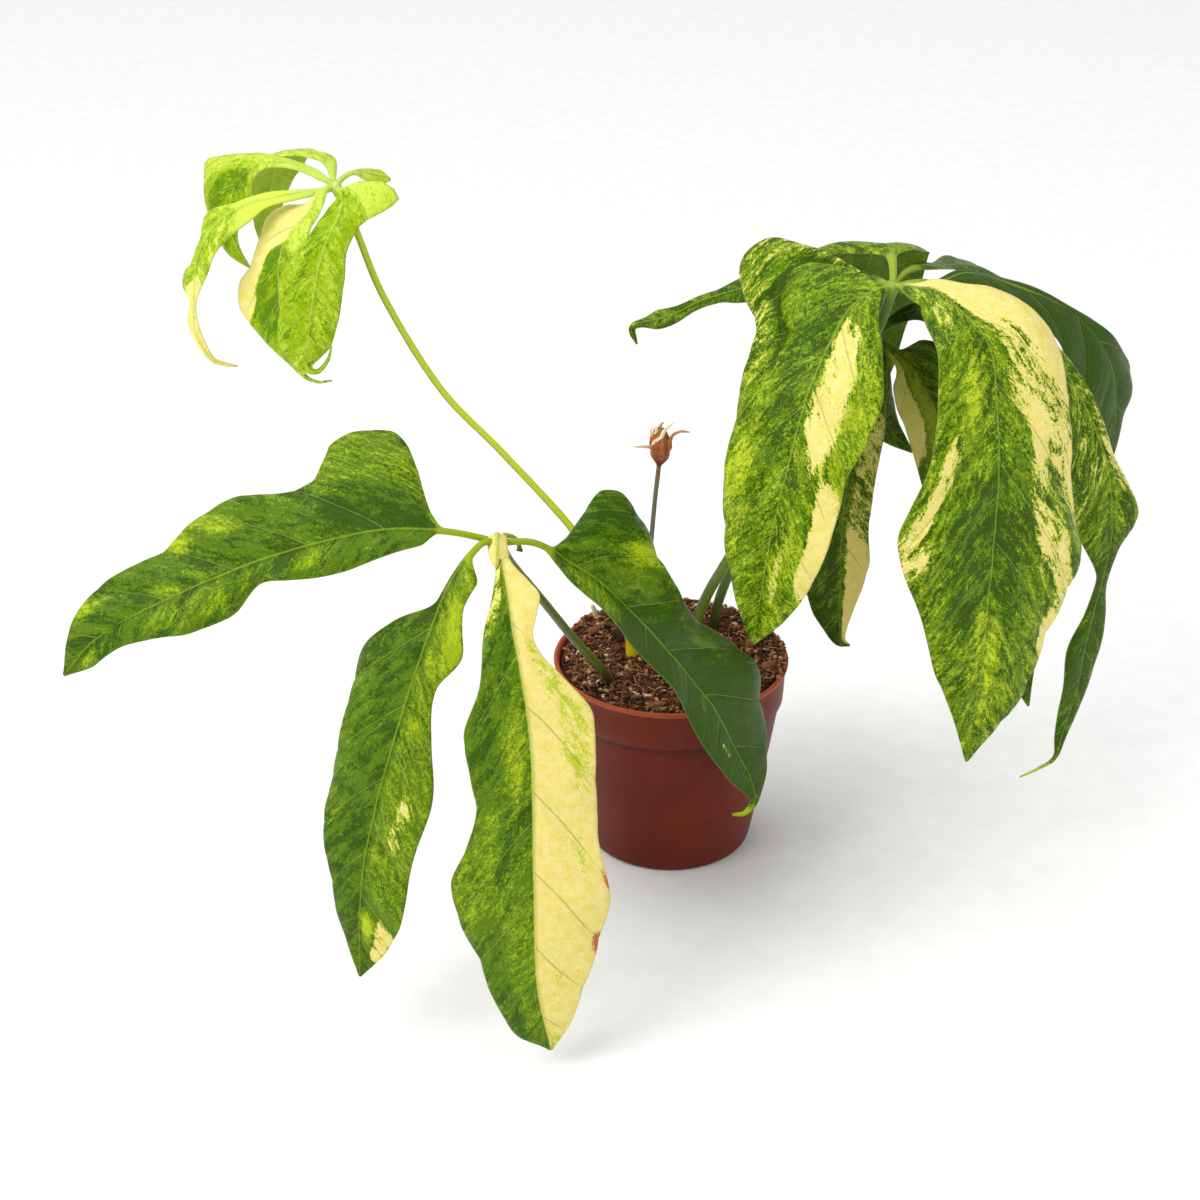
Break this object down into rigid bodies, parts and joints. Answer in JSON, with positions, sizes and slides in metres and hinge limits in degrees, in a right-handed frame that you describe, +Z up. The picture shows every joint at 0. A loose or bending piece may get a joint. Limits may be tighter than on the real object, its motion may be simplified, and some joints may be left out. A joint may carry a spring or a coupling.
{
  "type": "potted anthurium clavigerum",
  "caption": "Variegated climbing aroid in a round tapered plastic nursery pot: long-stalked compound leaves with wavy drooping leaflets and a withered bud, rooted in coir mix.",
  "frame": {"origin": "middle of the underside of the pot, where it stands on a surface", "axes": "+Z up; +X to the right of the picture, towards the large crown of leaves, and along the longest extent; +Y away from the viewer of the picture"},
  "size_m": [0.5263, 0.3163, 0.3664],
  "materials": {
    "pot_plastic": "satin",
    "potting_mix": "matte",
    "young_stalk": "satin",
    "front_stalk": "satin",
    "crown_stalk": "satin",
    "lower_stalk": "satin",
    "bud_stalk": "matte",
    "young_blade": "satin",
    "front_blade": "satin",
    "cream_blade": "satin",
    "crown_blade": "satin",
    "lower_blade": "satin",
    "dry_bud": "matte"
  },
  "bodies": {
    "root": {"pot": "pot_plastic", "soil": "potting_mix", "young_leaf_petiole": "young_stalk", "front_leaf_petiole": "front_stalk", "crown_leaf_petiole": "crown_stalk", "lower_leaf_petiole": "lower_stalk", "bud_stalk": "bud_stalk", "young_leaflet_1": "young_blade", "young_leaflet_2": "young_blade", "young_leaflet_3": "young_blade", "young_leaflet_4": "young_blade", "young_leaflet_5": "young_blade", "young_leaflet_6": "young_blade", "front_leaflet_1": "front_blade", "front_leaflet_2": "front_blade", "front_leaflet_3": "cream_blade", "front_leaflet_4": "front_blade", "front_leaflet_5": "front_blade", "crown_leaflet_1": "crown_blade", "crown_leaflet_2": "crown_blade", "crown_leaflet_3": "crown_blade", "crown_leaflet_4": "crown_blade", "crown_leaflet_5": "crown_blade", "crown_leaflet_6": "crown_blade", "crown_leaflet_7": "crown_blade", "lower_leaflet_1": "lower_blade", "lower_leaflet_2": "lower_blade", "lower_leaflet_3": "lower_blade", "lower_leaflet_4": "lower_blade", "withered_bud": "dry_bud"}
  },
  "joints": []
}
